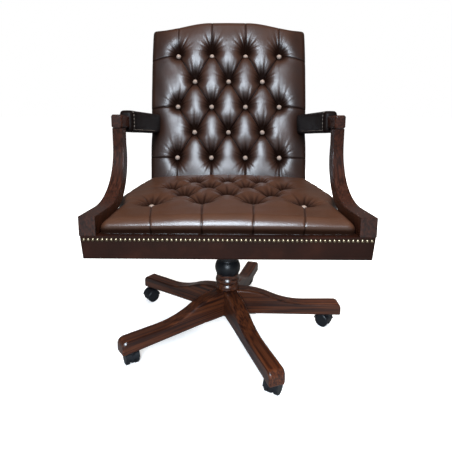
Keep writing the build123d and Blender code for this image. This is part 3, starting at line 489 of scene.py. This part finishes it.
def domes(centres, normals, look):
    # a flattened half ball at each centre: rings shrink by cosine and rise by sine along the normal,
    # from a little below the surface
    lift = np.linspace(look["sunk"], np.pi / 2, look["rings"])
    turn = np.arange(look["around"]) * 2 * np.pi / look["around"]
    centres, normals = np.asarray(centres, float), np.asarray(normals, float)
    across = np.array([1.0, 0.02, 0.01])  # a direction that no normal has
    side = unit(np.cross(normals, across))
    other = np.cross(normals, side)
    ring = np.cos(turn)[:, None] * side[:, None, :] + np.sin(turn)[:, None] * other[:, None, :]
    ring = ring * look["radius"]
    dome = (centres[:, None, None, :] + ring[:, None, :, :] * np.cos(lift)[None, :, None, None]
            + normals[:, None, None, :] * (look["height"] * np.sin(lift))[None, :, None, None])
    return dome.reshape(-1, 3), loopedGrids(len(centres), look["rings"], look["around"])


button = {"radius": 8.5, "height": 8, "sunk": -0.35, "around": 16, "rings": 6, "onBack": 42.5, "onSeat": 26}
spots = [onBack(np.array(bx), np.array(bv), np.array(button["onBack"])) for bx, bv in backButtons]
spots += [np.array([bx, by, rails["top"] + button["onSeat"]]) for bx, by in seatButtons]
normals = [backOut] * len(backButtons) + [np.array([0, 0, 1.0])] * len(seatButtons)
points, quads = domes(spots, normals, button)
buttons = addPiece("button_domes", points, quads, buttonLeather, "seat")
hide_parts("buttons")

nails = {"pitch": 10, "count": 63, "z": 401, "radius": 4.6, "height": 3.4, "sunk": -0.35, "around": 12,
         "rings": 5}
along = (np.arange(nails["count"]) - (nails["count"] - 1) / 2) * nails["pitch"]
spots = np.stack([along, np.full_like(along, rails["front"]), np.full_like(along, nails["z"])], axis=-1)
points, quads = domes(spots, np.tile([0, -1.0, 0], (len(along), 1)), nails)
nailRow = addPiece("nail_domes", points, quads, brass, "seat")
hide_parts("nail_trim")
print("buttons and nails")

# Arm sleeves, worked out on the right arm and mirrored for the left

# the arm's low wear value darkens the whole sleeve: painted shade
arm = {"start": 62, "end": 385, "width": 39, "front": 60, "rear": 67, "shift": 3.5, "lift": 2, "nose": 11,
       "turn": 4.346, "slope": 3.3, "origin": (289.96, -127, 648), "square": 0.42, "around": 96, "rings": 151,
       "noseRings": 7, "wave": 0.8, "waves": 9, "girth": 25, "swell": (55, 5), "swellHeight": 0.7,
       "swellAcross": 40, "swellHigh": 60, "wearAndShade": 0.06}
armTurn, armSlope = np.radians(arm["turn"]), np.radians(arm["slope"])
armInward = np.array([-np.cos(armTurn), -np.sin(armTurn), 0])
armLevel = np.cos(armSlope)
armRear = np.array([-np.sin(armTurn) * armLevel, np.cos(armTurn) * armLevel, -np.sin(armSlope)])
armUp = np.cross(armRear, armInward)


def squared(wave):
    # a cosine or sine pressed toward -1 and 1
    return np.sign(wave) * np.abs(wave) ** arm["square"]


def armSkin(far, inset, angle):
    # A rounded oblong carried along the arm: powers of |cos| and |sin| square it off, it swells to the rear,
    # and the inset draws it in at the nose.
    t = (far - arm["start"]) / (arm["end"] - arm["start"])
    halfWidth = arm["width"] / 2 - inset + arm["wave"] * np.sin(t * arm["waves"])
    halfHeight = (arm["front"] + (arm["rear"] - arm["front"]) * t) / 2 - inset
    across = arm["shift"] + halfWidth * squared(np.cos(angle))
    high = arm["lift"] + halfHeight * squared(np.sin(angle))
    swell = ripple(far + 0 * across, angle * arm["girth"] + 0 * across, *arm["swell"])
    swell = swell * arm["swellHeight"] * (inset == 0)
    across, high = across * (1 + swell / arm["swellAcross"]), high * (1 + swell / arm["swellHigh"])
    return arm["origin"] + across[..., None] * armInward + high[..., None] * armUp + far[..., None] * armRear


def armSleeve():
    # rings of the skin from the nose, where the inset follows a quarter circle, to the back,
    # and a cap on the nose
    nose = np.linspace(0, np.pi / 2, arm["noseRings"])
    straight = np.linspace(arm["start"] + arm["nose"], arm["end"], arm["rings"])[1:]
    far = np.concatenate([arm["start"] + arm["nose"] * (1 - np.cos(nose)), straight])
    inset = np.concatenate([arm["nose"] * (1 - np.sin(nose)), np.zeros(len(straight))])
    angle = np.linspace(0, 2 * np.pi, arm["around"], endpoint=False)
    skin = armSkin(far[:, None], inset[:, None], angle[None, :])
    cap = arm["origin"] + arm["shift"] * armInward + arm["lift"] * armUp + arm["start"] * armRear
    first = np.arange(1, arm["around"] + 1)
    fan = np.stack([np.zeros_like(first), np.roll(first, -1), first], axis=-1)
    points = np.concatenate([cap[None, :], skin.reshape(-1, 3)])
    return points, gridFaces(len(far), arm["around"], True, 1), fan


# top and low are angles round the sleeve in degrees,
# and tip is the part of the half sine that is cut off at each end of a stitch
seam = {"edge": 3, "top": 60, "low": -30, "rear": 300, "length": 5.5, "pitch": 10, "radius": 0.85,
        "tip": 0.08, "rings": 5, "around": 6, "downSteps": 60, "backSteps": 120}


def armSeam():
    # Stitches down the inner front edge of the sleeve and back along its lower edge. Each is a spindle on the
    # skin, whose radius is a half sine along its length.
    front = arm["start"] + arm["nose"] + seam["edge"]
    down = np.radians(np.linspace(seam["top"], seam["low"], seam["downSteps"]))
    rearward = np.linspace(front, seam["rear"], seam["backSteps"])[1:]
    far = np.concatenate([np.full(len(down), front), rearward])
    path = armSkin(far, np.zeros_like(far), np.concatenate([down, np.full(len(rearward), down[-1])]))
    run = np.concatenate([[0], np.cumsum(np.linalg.norm(np.diff(path, axis=0), axis=1))])
    u = np.linspace(0, 1, seam["rings"])
    at = np.arange(0, run[-1] - seam["length"], seam["pitch"])[:, None] + u * seam["length"]
    middle = np.stack([np.interp(at, run, path[:, axis]) for axis in range(3)], axis=-1)
    along = unit(middle[:, -1] - middle[:, 0])
    turn = np.arange(seam["around"]) * 2 * np.pi / seam["around"]
    ring = np.cos(turn)[:, None] * armInward + np.sin(turn)[:, None] * np.cross(along, armInward)[:, None, :]
    thick = seam["radius"] * np.sin(np.pi * (seam["tip"] + (1 - 2 * seam["tip"]) * u))
    points = middle[:, :, None, :] + thick[:, None, None] * ring[:, None, :, :]
    return points.reshape(-1, 3), loopedGrids(len(at), seam["rings"], seam["around"])


for name, mirror in (("right", 1), ("left", -1)):
    points, quads, fan = armSleeve()
    pad = addPiece(f"arm_pad_{name}_leather", points * (mirror, 1, 1), quads[:, ::mirror], padLeather, "seat",
                   np.full(len(points), arm["wearAndShade"]), fan[:, ::mirror])
    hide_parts(f"arm_pad_{name}")
    points, quads = armSeam()
    thread = addPiece(f"arm_seam_{name}_thread", points * (mirror, 1, 1), quads[:, ::mirror], waxedThread,
                      "seat")
print("arm sleeves")

# The tilt spring hangs on its stud, so it goes with the seat.
# A round wire carried along a helix: wire radius times cosine outward and sine upward.
spring = {"radius": 10, "wire": 1.9, "turns": 3.5, "low": 288.4, "high": 317.6, "y": -112, "keep": 0.43,
          "steps": 141, "around": 10}
wind = np.linspace(0, spring["turns"] * 2 * np.pi, spring["steps"])
turn = np.linspace(0, 2 * np.pi, spring["around"], endpoint=False)
out = spring["radius"] + spring["wire"] * np.cos(turn)[None, :]
rise = np.linspace(spring["low"] + spring["wire"], spring["high"] - spring["wire"], spring["steps"])
points = np.stack([out * np.cos(wind)[:, None], spring["y"] + out * np.sin(wind)[:, None],
                   rise[:, None] + spring["wire"] * np.sin(turn)[None, :]], axis=-1)
quads = gridFaces(spring["steps"], spring["around"], True)[:, ::-1]
coil = addPiece("tilt_spring_coil", points.reshape(-1, 3), quads, steel, "seat")
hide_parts("tilt_spring")
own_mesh(coil)
print("tilt spring")

# Finishes of the rigid pieces

slotLooks = {"leather": plainLeather, "plywood": plywood, "steel": steel, "black_enamel": enamel,
             "black_plastic": black, "antique_brass": brass, "button": buttonLeather}
woodLie = {"firstLeg": -70.6, "legsApart": 72, "rail": 90, "postLean": -60}  # degrees


def grainLie(node):
    # turns about X, Y and Z that lay the grain along a leg, rail or post
    lean, heading = 0, 0
    if node.startswith("base_leg"):
        heading = woodLie["firstLeg"] + woodLie["legsApart"] * (int(node[-1]) - 1)
    elif node.startswith("arm_rail"):
        heading = woodLie["rail"]
    elif node.startswith("arm_post"):
        lean, heading = woodLie["postLean"], woodLie["rail"]
    return 0, np.radians(lean), np.radians(heading)


for row in frame["record"]["subparts"]:
    name = row["node"]
    if row["material_slot"] == "walnut":
        look = legLook if "base" in name else armLook
        finish = makeWood("lacquered_walnut_" + name, grainLie(name), look)
    else:
        finish = slotLooks[row["material_slot"]]
    node = frame["nodes"][name]
    node.data.materials.clear()
    node.data.materials.append(finish)
print("finishes")

# Floor, light and camera

# half, near and far are metres: the glow rises between near and far from the middle.
# bounce is the tone that the chair sees and tone the one that the camera sees.
floorLook = {"half": 30, "near": 0.9, "far": 3.5, "glow": (0.5, 1.0), "bounce": 0.17, "tone": 0.9,
             "rough": 0.9}
# pale paper, white in the distance
floorMaterial, tree, shader = newMaterial("studio_floor", floorLook["rough"])
seen = addNode(tree, "ShaderNodeLightPath").outputs["Is Camera Ray"]
place = addNode(tree, "ShaderNodeTexCoord").outputs["Object"]
far = addNode(tree, "ShaderNodeVectorMath", None, {0: place}, operation="LENGTH")
glowSpan = {"From Min": floorLook["near"], "From Max": floorLook["far"],
            "To Min": floorLook["glow"][0], "To Max": floorLook["glow"][1]}
rise = addNode(tree, "ShaderNodeMapRange", glowSpan, {"Value": far.outputs["Value"]},
               interpolation_type="SMOOTHSTEP")
glow = addNode(tree, "ShaderNodeMath", None, {0: rise.outputs["Result"], 1: seen}, operation="MULTIPLY")
tone = addNode(tree, "ShaderNodeMapRange", {"To Min": floorLook["bounce"], "To Max": floorLook["tone"]},
               {"Value": seen})
shader.inputs["Emission Color"].default_value = (1, 1, 1, 1)
tree.links.new(tone.outputs["Result"], shader.inputs["Base Color"])
tree.links.new(glow.outputs[0], shader.inputs["Emission Strength"])
floorMesh = bpy.data.meshes.new("floor")
corners = [(x * floorLook["half"], y * floorLook["half"], 0) for x, y in ((-1, -1), (1, -1), (1, 1), (-1, 1))]
floorMesh.from_pydata(corners, [], [(0, 1, 2, 3)])
floorMesh.materials.append(floorMaterial)
floor = addObject("floor", floorMesh)

worldLook = {"fill": 0.09, "seen": 1.0}
world = bpy.data.worlds.new("studio")
bpy.context.scene.world = world
world.use_nodes = True
tree = world.node_tree
seen = addNode(tree, "ShaderNodeLightPath").outputs["Is Camera Ray"]
level = addNode(tree, "ShaderNodeMapRange", {"To Min": worldLook["fill"], "To Max": worldLook["seen"]},
                {"Value": seen})
tree.links.new(level.outputs["Result"], tree.nodes["Background"].inputs["Strength"])
tree.nodes["Background"].inputs["Color"].default_value = (1, 1, 1, 1)


def standAt(place, right, above, behind):
    # placing matrix from an object's own three axes and its place
    rows = np.eye(4)
    rows[:3, 0], rows[:3, 1], rows[:3, 2], rows[:3, 3] = right, above, behind, place
    return Matrix(rows.tolist())


# metres and watts, shine says whether the lamp shows in glossy surfaces
lamps = {
    "window": {"place": (-0.15, -2.8, 1.85), "aim": (0, 0.1, 0.65), "size": (0.75, 1.8), "power": 175,
               "tint": (0.76, 0.88, 1.0), "shine": True},
    "ceiling": {"place": (0.3, -0.4, 2.7), "aim": (0, 0, 0.4), "size": (2.2, 2.2), "power": 96,
                "tint": (1, 0.93, 0.85), "shine": False},
    "rear": {"place": (1.2, 2.6, 1.7), "aim": (0, 0.2, 0.55), "size": (1.8, 1.8), "power": 90,
             "tint": (1, 0.97, 0.93), "shine": False},
}
for name, lamp in lamps.items():
    light = bpy.data.lights.new(name, "AREA")
    light.shape = "RECTANGLE"
    light.size, light.size_y = lamp["size"]
    light.energy = lamp["power"]
    light.color = lamp["tint"]
    holder = addObject(name, light)
    holder.visible_glossy = lamp["shine"]
    behind = unit(np.array(lamp["place"]) - np.array(lamp["aim"]))
    right = unit(np.cross([0, 0, 1.0], behind))
    holder.matrix_world = standAt(lamp["place"], right, np.cross(behind, right), behind)

# place in metres, angles in degrees, focal length and rise in pixels of the frame, sensor in millimetres
view = {"place": (0.003, -1.143, 0.678), "pitch": 9.05, "yaw": -0.46, "roll": 0.19, "focal": 389.9,
        "frame": 452, "rise": -54, "sensor": 36}
pitch, yaw, roll = np.radians(view["pitch"]), np.radians(view["yaw"]), np.radians(view["roll"])
ahead = np.array([np.sin(yaw) * np.cos(pitch), np.cos(yaw) * np.cos(pitch), -np.sin(pitch)])
level = np.array([np.cos(yaw), -np.sin(yaw), 0])
upright = np.cross(level, ahead)
right = level * np.cos(roll) + upright * np.sin(roll)
above = upright * np.cos(roll) - level * np.sin(roll)
cameraData = bpy.data.cameras.new("camera")
cameraData.sensor_width = view["sensor"]
cameraData.lens = view["focal"] / view["frame"] * view["sensor"]
cameraData.shift_y = view["rise"] / view["frame"]
camera = addObject("camera", cameraData)
camera.matrix_world = standAt(view["place"], right, above, -ahead)
bpy.context.scene.camera = camera
bpy.context.scene.view_settings.view_transform = "Standard"
print("floor, lamps and camera")
